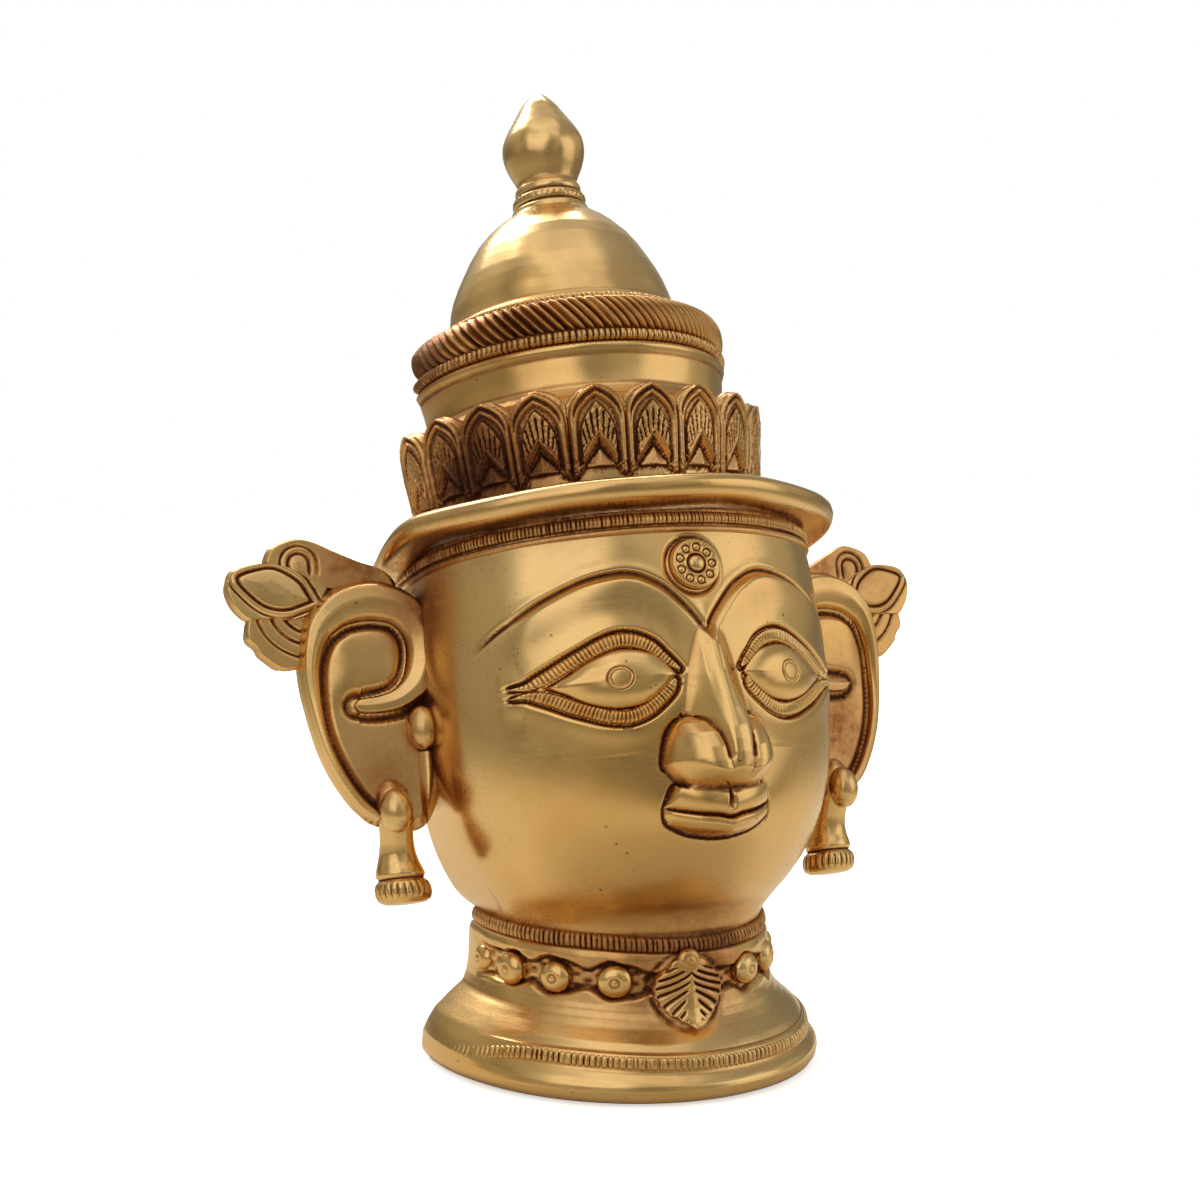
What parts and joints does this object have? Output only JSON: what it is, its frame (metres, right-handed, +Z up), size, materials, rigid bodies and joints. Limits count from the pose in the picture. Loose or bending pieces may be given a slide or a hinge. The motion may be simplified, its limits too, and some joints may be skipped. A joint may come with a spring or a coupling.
{
  "type": "goddess face mask",
  "caption": "Hollow half-round brass mask of a crowned goddess's face with ornate ears, beads at the neck, an open flat back and a flared foot that it stands on.",
  "frame": {"origin": "on the ground under the middle of the mask's outline, between the tip of the nose and the tip of the finial", "axes": "+Z is up. The face looks towards -Y, and the open flat back is towards +Y. +X is the viewer's right when facing the mask."},
  "size_m": [0.2244, 0.1449, 0.285],
  "materials": {
    "brass": "polished, with dark red-brown patina in the grooves"
  },
  "bodies": {
    "root": {"goddess_mask": "brass"}
  },
  "joints": []
}
